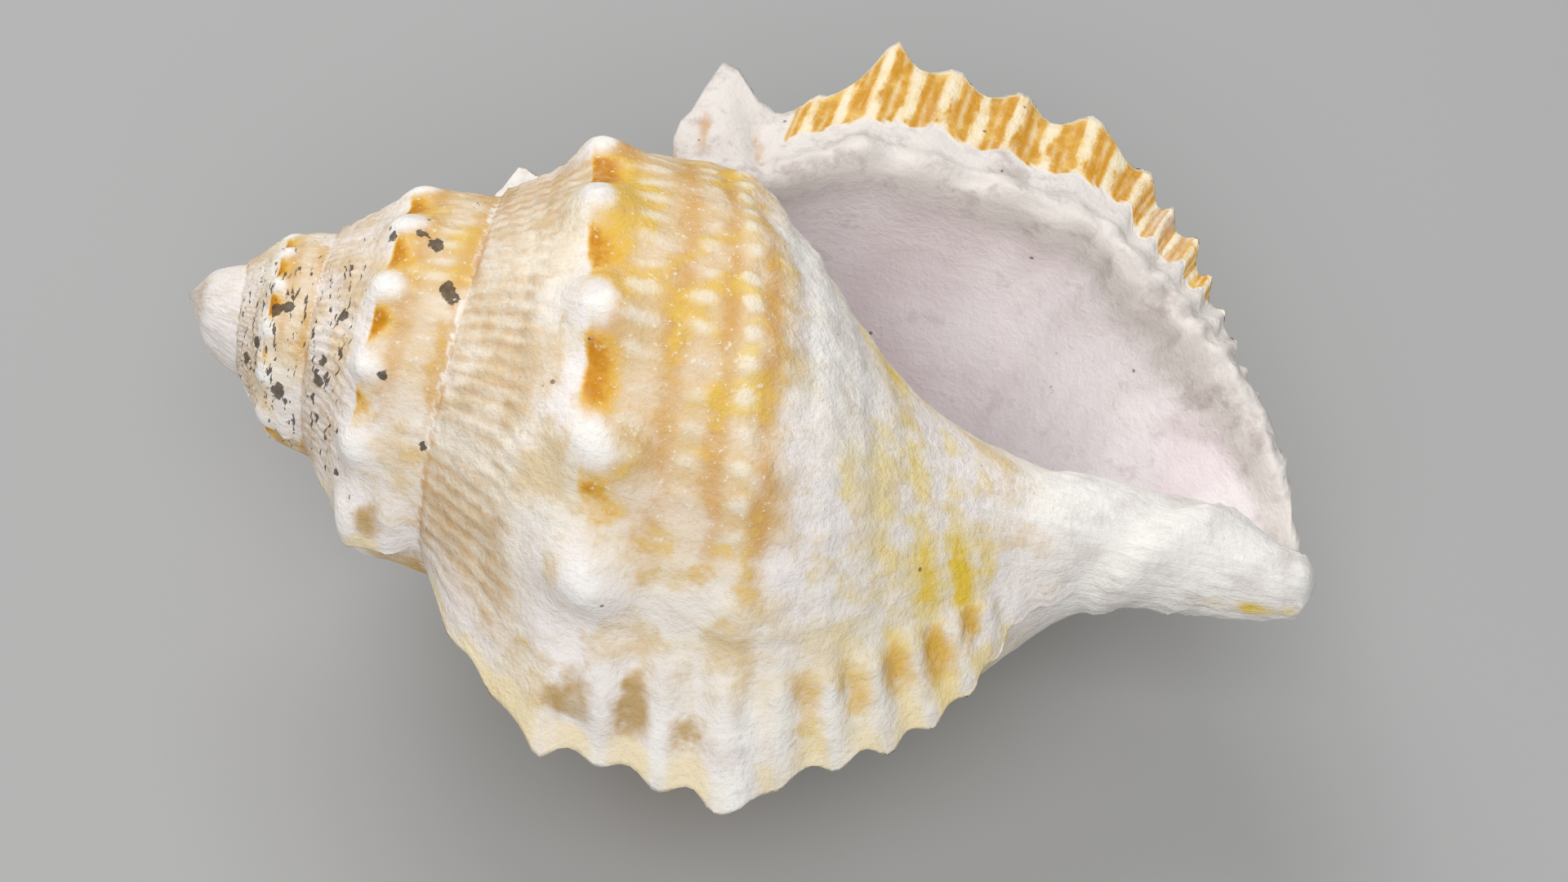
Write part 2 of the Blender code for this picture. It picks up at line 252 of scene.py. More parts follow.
def shoulder(turn):
    """Where the shoulder runs across the whorl."""
    return SHOULDER + SHOULDER_DROP * ease((turn - DROP_STARTS) / 0.25) * (1 - ease((turn - DROP_ENDS) / 0.2))


def knob(turn, across, out):
    """Height of the knobs, and how near the point is to the middle of one along the whorl."""
    phase = ((turn - FIRST_KNOB) * KNOBS_PER_TURN) % 1
    near = bump(np.minimum(phase, 1 - phase), 0, KNOB_LENGTH)
    rows = bump(across, shoulder(turn), KNOB_WIDTH) + KEEL_KNOB * bump(across, KEEL, KNOB_WIDTH)
    size = np.clip(out / LAST_WHORL[1, 0, 1], 0, 1.1) ** KNOB_GROWTH
    smooth = ease((turn + 1) / CALLUS) + (across < NEXT_SUTURE)
    return KNOB_HEIGHT * size * np.clip(smooth, 0, 1) * rows * near, near


def cord(across):
    return wave(across - SHOULDER, CORD_SPACING)


def bead(turn, across):
    return wave(turn + GROWTH_SLANT * across - FIRST_KNOB, 1 / BEADS_PER_TURN)


def callus(turn, across):
    """The smooth glaze that the animal spread over the last whorl beside its mouth: 1 there, 0 elsewhere."""
    reached = (1 - ease((turn - CALLUS_ENDS) / CALLUS_FADE)) * (turn >= -1)
    return reached * ease((across - NEXT_SUTURE + 0.1) / 0.3)


def crease(turn, across):
    """The fold at the root of the posterior canal's flute, on the front of the lip's flare."""
    share = (1 - np.clip((turn - LIP_EDGE) / FLARE_FRONT, 0, 1)) ** FRONT_HOLLOW
    line = bump(across, CREASE_AT + CREASE_RUN * (1 - share), CREASE_WIDTH)
    return line * ease((turn - LIP_EDGE) / 0.003) * (1 - share**3)


def relief(turn, across, out, share):
    """Cords, beads, wrinkles and folds, in mm out of the surface."""
    body = bump(across, 4.6, 2.4)
    ramp = ease(across / 0.3) * (1 - ease((across - 1.3) / 0.6))
    slanted = turn + 0.012 * np.sin(across * 1.9) + 0.0035 * ripple(turn * 30, across * 2, 6)
    fold = wave(slanted, 1 / RAMP_FOLDS_PER_TURN)
    ramp_thread = wave(across + 0.05 * ripple(turn * 60, across, 5), CORD_SPACING / 2)
    lumps = ripple(turn * 90 + across * 5, across * 2, 7)
    beaded_cord = cord(across) * (0.35 + 0.65 * bead(turn, across))
    height = body * (CORD_HEIGHT * beaded_cord + THREAD_HEIGHT * (1 - cord(across)))
    height += ramp * (FOLD_HEIGHT * fold * (0.6 + 0.4 * lumps) + RAMP_THREAD_HEIGHT * ramp_thread)
    height += ramp * LUMP_HEIGHT * lumps
    height += RIPPLE_HEIGHT * ripple(turn * 120 + across * 2, across * 5, 8)
    rostrum = ease((across - 7.6) / 1.5) * ROSTRUM_WRINKLES
    rostrum *= 0.4 - np.abs(ripple(turn * 12 + across * 3, across * 1.8 + turn * 8, 9))
    # Ribs that run down the back of the side varix, stronger below its middle
    rib = ease(share / 0.12) * ease((across - SHOULDER) / 0.4) * cord(across)
    rib *= RIB_HEIGHT * (0.9 + 0.5 * ease(across - 4.5))
    smooth = 1 - 0.85 * callus(turn, across)
    size = np.clip(out / LAST_WHORL[1, 0, 1], 0, 1) ** 0.8
    shallow = (height - 0.15) * (1 - share) + rib * (1 - 0.6 * share)
    return (shallow * size + rostrum * (1 - share)) * smooth


def seam(turn, across):
    """0 on the lines where sheets of the mesh meet, so that nothing parts them, and 1 away from them."""
    early = 1 - ease((turn + 1) / 0.05)
    open_side = 1 - early * (1 - ease((NEXT_SUTURE - across) / 0.25))
    tip = 1 - (1 - ease((LAST - across) / 0.3)) * (1 - ease(-turn / 0.02))
    return ease(across / 0.25) * open_side * tip


def outside(turn, across):
    """The outside of the shell as (along, out)."""
    point, out = plain(turn, across)
    height, share, _ = varix(turn, across)
    lean = FLARE_LEAN * np.clip(out[..., 0], LEAST_LEAN, None) - FLUTE_LEAN * (1 - ease(across))
    rise = np.stack([lean, out[..., 1]], -1)
    rise /= np.maximum(np.linalg.norm(rise, axis=-1, keepdims=True), 1e-9)
    point = point + rise * height[..., None]
    knobs, _ = knob(turn, across, point[..., 1])
    knobs = knobs * (1 - ease(height / KNOBLESS))
    fine = relief(turn, across, point[..., 1], share) * seam(turn, across)
    return point + out * (knobs + fine)[..., None]


def fluting(turn, across):
    """How far the ribs of a varix bend its sheet along the whorl, in mm."""
    _, share, front = varix(turn, across)
    ribs = np.where(front > 0, 0.45 * wave(across - SHOULDER, CORD_SPACING / 2) - 0.2,
                    0.9 * cord(across) + 0.3 * wave(across - SHOULDER, CORD_SPACING / 2) - 0.55)
    uneven = 0.5 * ripple(turn * 60 + across, across * 4, 14)
    bent = share * (ribs + uneven) * seam(turn, across)
    return bent * ease(across / 1.2) - CREASE_DEPTH * crease(turn, across)


def round_axis(turn, point):
    angle = 2 * pi * turn
    along, out = point[..., 0], point[..., 1]
    return np.stack([along + 0 * angle, out * np.cos(angle), out * np.sin(angle)], -1)


# The mouth.
# The last whorl is hollow and open: a thick white lip, the posterior canal's flute at its upper corner, and a
# smooth porcelain wall inside. The hollow's inner side is the face that the whorl before left behind.
WALL = 2.7
LIP_WALL = 2.9
# The wall of the smaller turns inside is never thinner than this share of it
LEAST_WALL_SHARE = 0.3
CAVITY_TURNS = 1.5
CAVITY_CORNER = 1.0
COLUMELLA_CORNER = 0.6
MOUTH_DEPTH = 0.12
CANAL_SHORTER = 3.0
INNER_SHORTER = 1.2
THIN_TO = 1.3
JOINED_TO = 0.9
CANAL_JOINED = 9.5
LIP_SWELL = 1.3
GROOVE_AT = 0.55
GROOVE_WIDTH = 0.25
GROOVE_DEPTH = 1.7


def columella(turn, across):
    at_lip = (turn > -1e-6)[..., None]
    return np.where(at_lip, outside(turn - 1, across), plain(turn - 1, across)[0])


def inner_wall(turn, across):
    """The outer side of the cavity, with teeth and folds behind the lip."""
    depth = ease(-turn / MOUTH_DEPTH)
    reach = LAST - CANAL_SHORTER * depth - INNER_SHORTER * ease((-turn - 0.1) / 0.4)
    place = across * reach / LAST + CAVITY_CORNER * depth * (1 - across / LAST)
    point, out = plain(turn, place)
    size = np.clip(suture(turn + 1)[..., 1] / LAST_WHORL[0, 0, 1], LEAST_WALL_SHARE, 1)
    thickness = (LIP_WALL + (WALL - LIP_WALL) * depth) * size * ease(place / THIN_TO)
    teeth = 0.7 * (cord(across) - 0.5) * bump(turn, -0.02, 0.035) * bump(across, 5, 3)
    lumps = 0.55 * ripple(turn * 90, across * 4, 12) * bump(turn, -0.03, 0.06) * ease((across - 2) / 3)
    folds = 0.35 * ripple(turn * 24 + across * 0.8, across * 1.1, 13)
    point = point - out * (thickness + (teeth + lumps + folds) * ease(across / 1.5))[..., None]
    start = columella(turn, NEXT_SUTURE + COLUMELLA_CORNER * depth)
    end = columella(turn, np.full(turn.shape, float(LAST)))
    at_start = 1 - ease(across / JOINED_TO)
    at_end = ease((across - CANAL_JOINED) / (LAST - CANAL_JOINED))
    point = point + (start - point) * at_start[..., None]
    return point + (end - point) * at_end[..., None]


# The colours.
# Each point of the surface carries masks from 0 to 1: how much of each stain is left there, how far it is
# rubbed white, where it lies on a varix, how far it is into the mouth. The material turns these into colour.
MASKS = [
    "zone", "deep", "white", "ramp", "base", "edge", "bars",
    "patches", "mouth", "glaze", "line", "speck", "dust",
]
# Dark crusts on the spire: turn, across and radius in mm
SPECKS = [
    (-1.745, 2.75, 0.9), (-1.789, 2.43, 0.7), (-1.796, 1.83, 0.5), (-1.80, 2.25, 0.4), (-2.579, 2.40, 0.9),
    (-2.708, 2.40, 0.5), (-2.70, 2.15, 0.5), (-1.657, 0.73, 0.6), (-1.631, 0.65, 0.7), (-1.603, 0.50, 0.6),
    (-1.673, 1.18, 0.5), (-1.710, 0.95, 0.6), (-1.666, 2.27, 0.4), (-1.555, 1.58, 0.4), (-2.595, 0.93, 0.6),
    (-2.64, 1.5, 0.4), (-1.60, 1.6, 0.4), (-1.62, 2.9, 0.4), (-2.52, 0.2, 0.6),
]
# How strongly the grooves behind the side varix are stained, across the whorl
STAIN_PLACES = [1.9, 2.2, 3.1, 3.4, 4.3, 4.8, 5.8, 7.0, 7.7]
STAINS = [0, 0.95, 1.0, 0.45, 0.3, 0.95, 1.0, 1.2, 0]
# Where the ochre band starts, at the shoulder's ridge, and ends
BAND_TOP = 1.84
BAND_END = 3.75
LIP_FROM = -0.2
FLUTE_END = 1.02
# Height in mm up to which the white lip covers the last varix's front
LIP_COVER = 2.5
# Three blotches, each with its middle and width in turns, then its middle and width across: the yellow on the
# base, the yellow at the canal's tip, and the brown spot low on the flute's front
BASE_BLOTCH = (-0.59, 0.07, 6.9, 0.8)
TIP_STAIN = (-0.545, 0.05, 11.4, 0.7)
FLUTE_SPOT = (-0.007, 0.0025, 0.42, 0.08)


def blotch(turn, across, where):
    at_turn, turns_wide, at_across, width = where
    return bump(turn, at_turn, turns_wide) * bump(across, at_across, width)


def ochre_masks(turn, across, share, near, drift, patch):
    """The ochre band, less of it just behind each varix, and the deep orange between its knobs."""
    grown = ease((turn + 3.3) / 0.7)
    behind_varix = (LIP_EDGE - turn) % 0.5
    fresh = 0.16 + 0.84 * ease((behind_varix - 0.065 + 0.02 * drift) / 0.14)
    fresh = fresh * (1 - 0.85 * callus(turn, across)) * grown
    top = across - shoulder(turn) + SHOULDER
    spire = ease((-1.02 - turn) / 0.1)
    band = ease((top - BAND_TOP) / 0.16) * (1 - ease((across - BAND_END - 0.35 * drift) / 0.8))
    zone = band * fresh * (1 - 0.9 * ease(share / 0.15))
    zone = zone * (0.82 + 0.18 * patch) * (1 - 0.3 * spire * (0.6 + patch))
    deep = ease((top - BAND_TOP) / 0.08) * (1 - ease((top - BAND_TOP - 0.06) / 0.50))
    deep = deep * (1 - ease((near - 0.05) / 0.85)) * ease((fresh - 0.2) / 0.5) * (1 + 0.3 * patch)
    knobs = np.maximum(bump(top, SHOULDER, 0.28 + 0.16 * spire), 0.62 * bump(across, KEEL, 0.3))
    knob_white = 0.85 * ease((near * knobs - 0.30) / 0.7) * (1 - share) * (0.55 + 0.45 * grown)
    return zone, deep, knob_white, fresh


def rubbed_white(turn, across, drift):
    """The rostrum, the glaze by the mouth and the worn belt below the ochre band."""
    rostrum = 0.95 * ease((across - 7.8 - 0.6 * drift) / 1.3)
    belt = 0.7 * ease((across - 4.1 - 0.3 * drift) / 0.6) * (1 - ease((across - 5.6) / 0.8))
    belt = belt * ease((turn + 0.95) / 0.1) * (0.4 + 0.6 * ease((-0.66 - turn) / 0.1))
    return np.maximum(rostrum, np.maximum(0.9 * callus(turn, across), belt))


def ramp_mask(turn, across, drift, patch):
    ramp = ease(across / 0.1) * (1 - ease((across - 1.2 - 0.2 * patch) / 0.8)) * (0.7 + 0.3 * drift)
    return ramp * (0.45 + 0.55 * ease((turn + 1.15) / 0.2)) * (1 + 0.5 * ease((-0.78 - turn) / 0.12))


def base_mask(turn, across, fresh, patch):
    """Yellow: a line at the end of the band, the base below it, its blotch, and the canal's tip."""
    low_down = ease((across - 4.2) / 0.9) * (1 - ease((across - 7.3) / 0.7))
    low_down = low_down * (1 - 0.9 * callus(turn, across))
    base = 0.9 * bump(across, 3.78, 0.16) * (fresh - 0.1) + low_down * (0.50 + 0.35 * patch)
    return base + 0.6 * blotch(turn, across, BASE_BLOTCH) + 1.1 * blotch(turn, across, TIP_STAIN)


def lip_masks(turn, across, height, share, front, drift):
    """The white lip, over the foot of the last varix's front and all of the flute, and the bars above it."""
    at_lip = front * (turn > LIP_FROM)
    on_flute = 1 - ease((across - FLUTE_END) / 0.22)
    cover = LIP_COVER + 0.7 * wave(across - SHOULDER, CORD_SPACING / 2) + 0.5 * drift
    cover = cover + 15 * on_flute - 1.6 * ease(across - 4) + 6 * ease((across - 6.3) / 0.6)
    lip_white = at_lip * (1 - ease((height - cover) / 0.5))
    lip_white = np.maximum(lip_white, on_flute * ease(share / 0.1) * (turn > LIP_FROM))
    bars = at_lip * (1 - lip_white) * ease(share / 0.1) * (1 - 0.4 * ease((share - 0.90) / 0.10))
    return at_lip, lip_white, bars


def stained_grooves(across, share, front, drift):
    """The stains between the ribs on the back of the varices, further down it on the lower half."""
    reach = np.where(across < 4.5, bump(share, 0.45, 0.26), bump(share, 0.26, 0.30))
    reach = reach * ease((share - 0.01) / 0.08)
    return (1 - front) * reach * np.interp(across, STAIN_PLACES, STAINS) * (0.8 + 0.2 * drift)


def crust_masks(turn, across, point):
    """The dark crusts one by one, and the parts of the spire that have many small ones."""
    dust = blotch(turn, across, (-1.67, 0.13, 0.8, 0.7))
    dust = dust + bump(turn, -2.64, 0.22) * (0.5 + 0.5 * bump(across, 2.1, 0.9))
    dust = np.clip(dust + 0.45 * ease((-1.25 - turn) / 0.3) * (1 - ease((-2.9 - turn) / 0.2)), 0, 1)
    speck = np.zeros(turn.shape)
    for at_turn, at_across, radius in SPECKS:
        there, _ = plain(np.array(at_turn), np.array(at_across))
        round_way = 2 * pi * there[1] * (turn - at_turn)
        far = np.sqrt(round_way**2 + ((point - there) ** 2).sum(-1))
        speck = np.maximum(speck, 1 - far / (2 * radius))
    return speck, dust


def masks(turn, across):
    """The masks for the outside."""
    point, _ = plain(turn, across)
    height, share, front = varix(turn, across)
    _, near = knob(turn, across, point[..., 1])
    drift = ripple(turn * 26, across * 1.2, 21)
    patch = ripple(turn * 60, across * 2.5, 22)
    zone, deep, knob_white, fresh = ochre_masks(turn, across, share, near, drift, patch)
    at_lip, lip_white, bars = lip_masks(turn, across, height, share, front, drift)
    white = np.maximum(knob_white, rubbed_white(turn, across, drift))
    white = np.maximum(white, ease(share / 0.4) * bump(across, KEEL, 0.2) * (turn < LIP_FROM))
    white = white * (1 - 0.9 * blotch(turn, across, TIP_STAIN))
    white = np.maximum(white, np.maximum(lip_white, 0.9 * front * (turn < -0.6)))
    rib = ease(share / 0.15) * (1 - front) * cord(across) ** 2 * ease((across - 2.2) / 0.4)
    white = np.maximum(white, (0.6 + 0.2 * patch) * rib * (1 - ease(across - 8)))
    line = (1 - ease(across / 0.3)) * (0.75 + 0.25 * patch)
    # Painted shade along the crease at the root of the flute, in brown
    line = np.maximum(line, at_lip * crease(turn, across) * 0.8)
    line = np.maximum(line, at_lip * blotch(turn, across, FLUTE_SPOT))
    speck, dust = crust_masks(turn, across, point)
    return dict(
        zone=zone, deep=deep, white=white, bars=bars, line=line, speck=speck, dust=dust,
        ramp=ramp_mask(turn, across, drift, patch) * (1 - share),
        base=base_mask(turn, across, fresh, patch),
        edge=ease((share - 0.5) / 0.35) * (1 - front),
        patches=stained_grooves(across, share, front, drift),
        mouth=np.zeros(turn.shape),
        glaze=np.maximum(0.4 * callus(turn, across), lip_white))


def mouth_masks(turn, way_in):
    """The masks for the lip and the cavity: white, then lilac further in."""
    none = np.zeros(turn.shape)
    found = {name: none for name in MASKS}
    return dict(found, white=none + 1, mouth=none + way_in, glaze=none + 1)


# The mesh.
# Each surface is a grid rolled into place. The grids share their edges, so merging them closes the shell.
# It stands where the frame's own shell stands, apex towards -X and mouth up.
UP_TURN = -0.7855
CANAL_RAISED = -5.3
APEX_AT = Vector((-54.765, -5.342, 36.692))
STATIONS_PER_HALF_TURN = 155
CAVITY_STATIONS_PER_TURN = 56
LIP_ROWS = 9
TIP_ROWS = 5
# Points nearer the apex than this, in mm, are put on it
APEX_SIZE = 0.05
# Points nearer each other than this, in mm, are merged
SAME_POINT = 0.0003
up_angle = 2 * pi * UP_TURN
shell_up = Vector((0, cos(up_angle), sin(up_angle)))
shell_axis = Vector((1, 0, 0))
laid = Matrix.Rotation(radians(-CANAL_RAISED), 4, "Y") @ Matrix(
    (shell_axis, shell_up.cross(shell_axis), shell_up)).to_4x4()
to_world = Matrix.Scale(MM, 4) @ Matrix.Translation(APEX_AT) @ laid


def stations(start, end):
    """Turns from start to end, the same in every half turn and closest together on the varices' fronts."""
    fine = np.linspace(0, 0.5, 2001)
    density = 1 + 4 * (bump(fine, 0.494, 0.008) + bump(fine, -0.006, 0.008))
    total = np.concatenate([[0], np.cumsum((density[1:] + density[:-1]) / 2)])
    half = np.interp(np.linspace(0, total[-1], STATIONS_PER_HALF_TURN + 1)[:-1], total, fine)
    every = np.concatenate([k / 2 + half for k in range(round(2 * start), round(2 * end))] + [[end]])
    return every.round(9)


def add_sheet(bm, points, turn, across, amounts):
    """A grid moved to rows and columns of points, with its place on the whorl as UV and its masks."""
    rows, columns = points.shape[:2]
    first = len(bm.faces)
    grid = bmesh.ops.create_grid(bm, x_segments=columns - 1, y_segments=rows - 1, size=1)
    values = np.stack([amounts[name] for name in MASKS], -1).reshape(-1, len(MASKS)).tolist()
    layers = [bm.verts.layers.float[name] for name in MASKS]
    where = np.stack([turn, across], -1).reshape(-1, 2).tolist()
    place_of = {}
    for vert, point, value, place in zip(grid["verts"], points.reshape(-1, 3).tolist(), values, where):
        vert.co = point
        place_of[vert] = place
        for layer, amount in zip(layers, value):
            vert[layer] = amount
    uv = bm.loops.layers.uv["whorl"]
    bm.faces.ensure_lookup_table()
    for face in bm.faces[first:]:
        for loop in face.loops:
            loop[uv].uv = place_of[loop.vert]


def outside_sheet(bm, turns, places):
    turn, across = np.meshgrid(turns, places, indexing="ij")
    point = outside(turn, across)
    point = np.where(np.linalg.norm(point, axis=-1, keepdims=True) < APEX_SIZE, 0, point)
    bent = turn + fluting(turn, across) / (2 * pi * np.maximum(point[..., 1], 1))
    add_sheet(bm, round_axis(bent, point), turn, across, masks(turn, across))


def lip_sheet(bm, places):
    """The front of the lip, from its outer edge in to the mouth, hollowed for the posterior canal."""
    step, across = np.meshgrid(np.linspace(0, 1, LIP_ROWS), places, indexing="ij")
    zero = np.zeros(step.shape)
    outer = outside(zero, across)
    inner = inner_wall(zero, across)
    point = outer + (inner - outer) * step[..., None]
    groove = 1 - GROOVE_DEPTH * bump(across, GROOVE_AT, GROOVE_WIDTH)
    ends = ease(across / 0.7) * ease((LAST - across) / 2)
    wavy = 1 + 0.40 * (cord(across) - 0.5) + 0.55 * ripple(across * 5, step * 4, 31)
    forward = LIP_SWELL * np.sin(pi * step) ** 0.8 * groove * ends * wavy
    forward += (1 - step) * fluting(zero, across)
    turn = forward / (2 * pi * np.maximum(point[..., 1], 1))
    add_sheet(bm, round_axis(turn, point), zero, across, mouth_masks(zero, 0))


def cavity_sheet(bm, places):
    """The hollow whorl: rings from the lip inwards that close in a point."""
    turns = np.linspace(-CAVITY_TURNS, 0, int(CAVITY_TURNS * CAVITY_STATIONS_PER_TURN) + 1)
    turn, across = np.meshgrid(turns, places, indexing="ij")
    outer = round_axis(turn, inner_wall(turn, across))
    turn_in, across_in = np.meshgrid(turns, places[places >= NEXT_SUTURE], indexing="ij")
    rounded = NEXT_SUTURE + COLUMELLA_CORNER * ease(-turn_in / MOUTH_DEPTH)
    below = rounded + (across_in - NEXT_SUTURE) * (LAST - rounded) / (LAST - NEXT_SUTURE)
    inner = round_axis(turn_in, columella(turn_in, below))
    rings = np.concatenate([outer, inner[:, ::-1][:, 1:]], 1)
    rings[0] = rings[0].mean(0)
    turn = np.concatenate([turn, turn_in[:, 1:]], 1)
    across = np.concatenate([across, across_in[:, ::-1][:, 1:]], 1)
    white_rim = 0.008 + 0.022 * ease((across - 3) / 4)
    way_in = ease((-turn - white_rim + 0.004 * ripple(turn * 60, across * 3, 32)) / 0.02)
    add_sheet(bm, rings, turn, across, mouth_masks(turn, way_in))


def tip_sheet(bm, turns):
    """The closed end of the rostrum, rounded over."""
    step, turn = np.meshgrid(np.linspace(0, 1, TIP_ROWS), turns, indexing="ij")
    across = np.full(turn.shape, float(LAST))
    edge = outside(turn, across)
    point = edge * (1 - step)[..., None]
    point[..., 0] = edge[..., 0] + (SHELL_LENGTH - edge[..., 0]) * np.sin(pi / 2 * step)
    add_sheet(bm, round_axis(turn, point), turn, across, masks(turn, across))


places = np.concatenate([np.linspace(0, 3, 35), np.linspace(3, 8, 65)[1:], np.linspace(8, LAST, 23)[1:]])
last_turns = stations(-1, 0)
bm = bmesh.new()
bm.loops.layers.uv.new("whorl")
for name in MASKS:
    bm.verts.layers.float.new(name)
outside_sheet(bm, stations(-WHORLS, -1), places[places <= NEXT_SUTURE])
outside_sheet(bm, last_turns, places)
cavity_sheet(bm, places)
lip_sheet(bm, places)
tip_sheet(bm, last_turns)
bmesh.ops.remove_doubles(bm, verts=bm.verts, dist=SAME_POINT)
bmesh.ops.recalc_face_normals(bm, faces=bm.faces)
bm.transform(to_world)
low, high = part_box("shell")
for vert in bm.verts:
    vert.co = [min(max(c, a), b) for c, a, b in zip(vert.co, low, high)]
mesh = bpy.data.meshes.new("whole_shell")
bm.to_mesh(mesh)
bm.free()
mesh.shade_smooth()
shell = bpy.data.objects.new("whole_shell", mesh)
bpy.context.scene.collection.objects.link(shell)


# The finish.
# Outside: chalky, sea-worn shell, ochre and yellow where the stain is left and white where it has rubbed off.
# Inside: smooth pale lilac porcelain behind a white lip. Colour, grain and gloss all come from nodes.
material = bpy.data.materials.new("worn_shell")
material.use_nodes = True
nodes = material.node_tree.nodes
links = material.node_tree.links
finish = nodes["Principled BSDF"]


def add(kind, *inputs, **settings):
    """A node with its settings, and its inputs linked or set in order. None leaves an input as it is."""
    node = nodes.new(kind)
    for name, value in settings.items():
        setattr(node, name, value)
    for socket, value in zip(node.inputs, inputs):
        if isinstance(value, bpy.types.NodeSocket):
            links.new(value, socket)
        elif value is not None:
            socket.default_value = value
    return node


def mask(name):
    return add("ShaderNodeAttribute", attribute_name=name).outputs["Fac"]


def maths(operation, *values):
    return add("ShaderNodeMath", *values, operation=operation).outputs[0]


def times(*values):
    total = values[0]
    for value in values[1:]:
        total = maths("MULTIPLY", total, value)
    return total


def mix(amount, under, over):
    """One colour over another."""
    node = nodes.new("ShaderNodeMix")
    node.data_type = "RGBA"
    for name, value in (("Factor_Float", amount), ("A_Color", under), ("B_Color", over)):
        socket = next(s for s in node.inputs if s.identifier == name)
        if isinstance(value, bpy.types.NodeSocket):
            links.new(value, socket)
        else:
            socket.default_value = value
    return next(s for s in node.outputs if s.identifier == "Result_Color")


def noise(vector, scale, detail=4.0, roughness=0.55):
    node = add("ShaderNodeTexNoise", vector)
    node.inputs["Scale"].default_value = scale
    node.inputs["Detail"].default_value = detail
    node.inputs["Roughness"].default_value = roughness
    return node.outputs["Fac"]


def between(value, low_end, high_end):
    """0 up to low_end, 1 from high_end on."""
    node = add("ShaderNodeMapRange", value, low_end, high_end, 0.0, 1.0, interpolation_type="SMOOTHSTEP")
    return node.outputs[0]


def broken(amount, texture, strength):
    """A mask whose edge a texture breaks up."""
    shift = maths("MULTIPLY_ADD", texture, strength, -strength / 2)
    return maths("ADD", amount, shift)


def waves(value, spacing, offset):
    """1 where the value is offset plus a multiple of the spacing, and 0 halfway between."""
    turns = maths("MULTIPLY_ADD", value, 2 * pi / spacing, -2 * pi * offset / spacing)
    return maths("MULTIPLY_ADD", maths("COSINE", turns), 0.5, 0.5)


def srgb(red, green, blue):
    def linear(c):
        c = c / 255
        return c / 12.92 if c < 0.04045 else ((c + 0.055) / 1.055) ** 2.4
    return (linear(red), linear(green), linear(blue), 1.0)


# Bare shell
LILAC_WHITE = srgb(237, 230, 226)
CREAM = srgb(238, 229, 212)
GREY_BEIGE = srgb(212, 200, 190)
BEIGE = srgb(220, 196, 154)
GROWTH_BROWN = srgb(207, 188, 166)
# The ramp
RAMP_WASH = srgb(206, 186, 160)
TAN = srgb(212, 184, 140)
# Painted shade for the grooves between the ramp's folds
TAN_GROOVE_SHADE = srgb(196, 158, 108)
LILAC_GREY = srgb(212, 199, 188)
# The ochre band
PALE_OCHRE = srgb(212, 180, 128)
OCHRE = srgb(202, 152, 78)
GOLD = srgb(222, 184, 80)
AMBER = srgb(228, 184, 76)
DEEP_ORANGE = srgb(194, 126, 8)
# The base
PALE_YELLOW = srgb(236, 214, 142)
BRIGHT_YELLOW = srgb(232, 196, 48)
# The varices
EDGE_CREAM = srgb(238, 220, 174)
OLIVE_BROWN = srgb(182, 148, 86)
OLIVE_GOLD = srgb(216, 170, 62)
BAR_CREAM = srgb(238, 224, 194)
BAR_YELLOW = srgb(226, 184, 88)
BAR_ORANGE = srgb(198, 136, 26)
# Whites
BEAD_WHITE = srgb(233, 224, 208)
SCRATCH_WHITE = srgb(236, 228, 214)
CHALK_WHITE = srgb(241, 238, 233)
CHALK_SHADE = srgb(224, 217, 212)
# The lip and the mouth
LIP_WHITE = srgb(214, 206, 200)
LIP_SHADE = srgb(184, 172, 166)
PORCELAIN = srgb(243, 236, 236)
ROSE = srgb(234, 221, 223)
PALE_SCRAPE = srgb(245, 239, 237)
MOUTH_SHADE = srgb(214, 202, 203)
# Sutures and painted shade along the flute's crease, pinprick stains and crusts
SUTURE_BROWN_AND_CREASE_SHADE = srgb(196, 148, 88)
PINPRICK_BROWN = srgb(120, 92, 70)
CRUST_DARK = srgb(52, 43, 36)
CRUST_LIGHT = srgb(88, 73, 60)

place = add("ShaderNodeTexCoord").outputs["Object"]
whorl = add("ShaderNodeUVMap", uv_map="whorl").outputs[0]
cloud = noise(place, 75, 3)
patchy = noise(place, 150, 4, 0.6)
mottle = noise(place, 300, 5, 0.65)
fleck = noise(place, 650, 4, 0.65)
grain = noise(place, 1800, 4, 0.6)
growth = noise(add("ShaderNodeMapping", whorl, None, None, (120, 2.6, 1)).outputs[0], 1.0, 5, 0.65)
turn_at, across_at, _ = add("ShaderNodeSeparateXYZ", whorl).outputs
on_rib = waves(maths("MULTIPLY_ADD", patchy, 0.12, across_at), CORD_SPACING / 2, SHOULDER + 0.06)
on_thread = waves(maths("MULTIPLY_ADD", patchy, 0.08, across_at), CORD_SPACING / 6, SHOULDER)
on_fold = waves(maths("MULTIPLY_ADD", patchy, 0.012, turn_at), 1 / RAMP_FOLDS_PER_TURN, 0.006)
across_at = maths("ADD", across_at, maths("MULTIPLY_ADD", patchy, 0.4, -0.2))
across_at = maths("ADD", across_at, maths("MULTIPLY_ADD", fleck, 0.10, -0.05))
lagging = maths("MULTIPLY_ADD", across_at, GROWTH_SLANT, turn_at)
lagging = maths("ADD", lagging, maths("MULTIPLY_ADD", patchy, 0.014, -0.007))
on_cord = waves(across_at, CORD_SPACING, SHOULDER)
on_bead = waves(lagging, 1 / BEADS_PER_TURN, FIRST_KNOB)
between_cords = maths("SUBTRACT", 1.0, on_cord)

# Bare shell: lilac-white to cream, mottled, washed with beige and streaked along the growth lines
colour = mix(between(cloud, 0.38, 0.62), LILAC_WHITE, CREAM)
colour = mix(times(between(mottle, 0.50, 0.70), 0.40), colour, GREY_BEIGE)
colour = mix(times(between(patchy, 0.47, 0.66), 0.65), colour, BEIGE)
colour = mix(times(between(growth, 0.48, 0.72), 0.35), colour, GROWTH_BROWN)
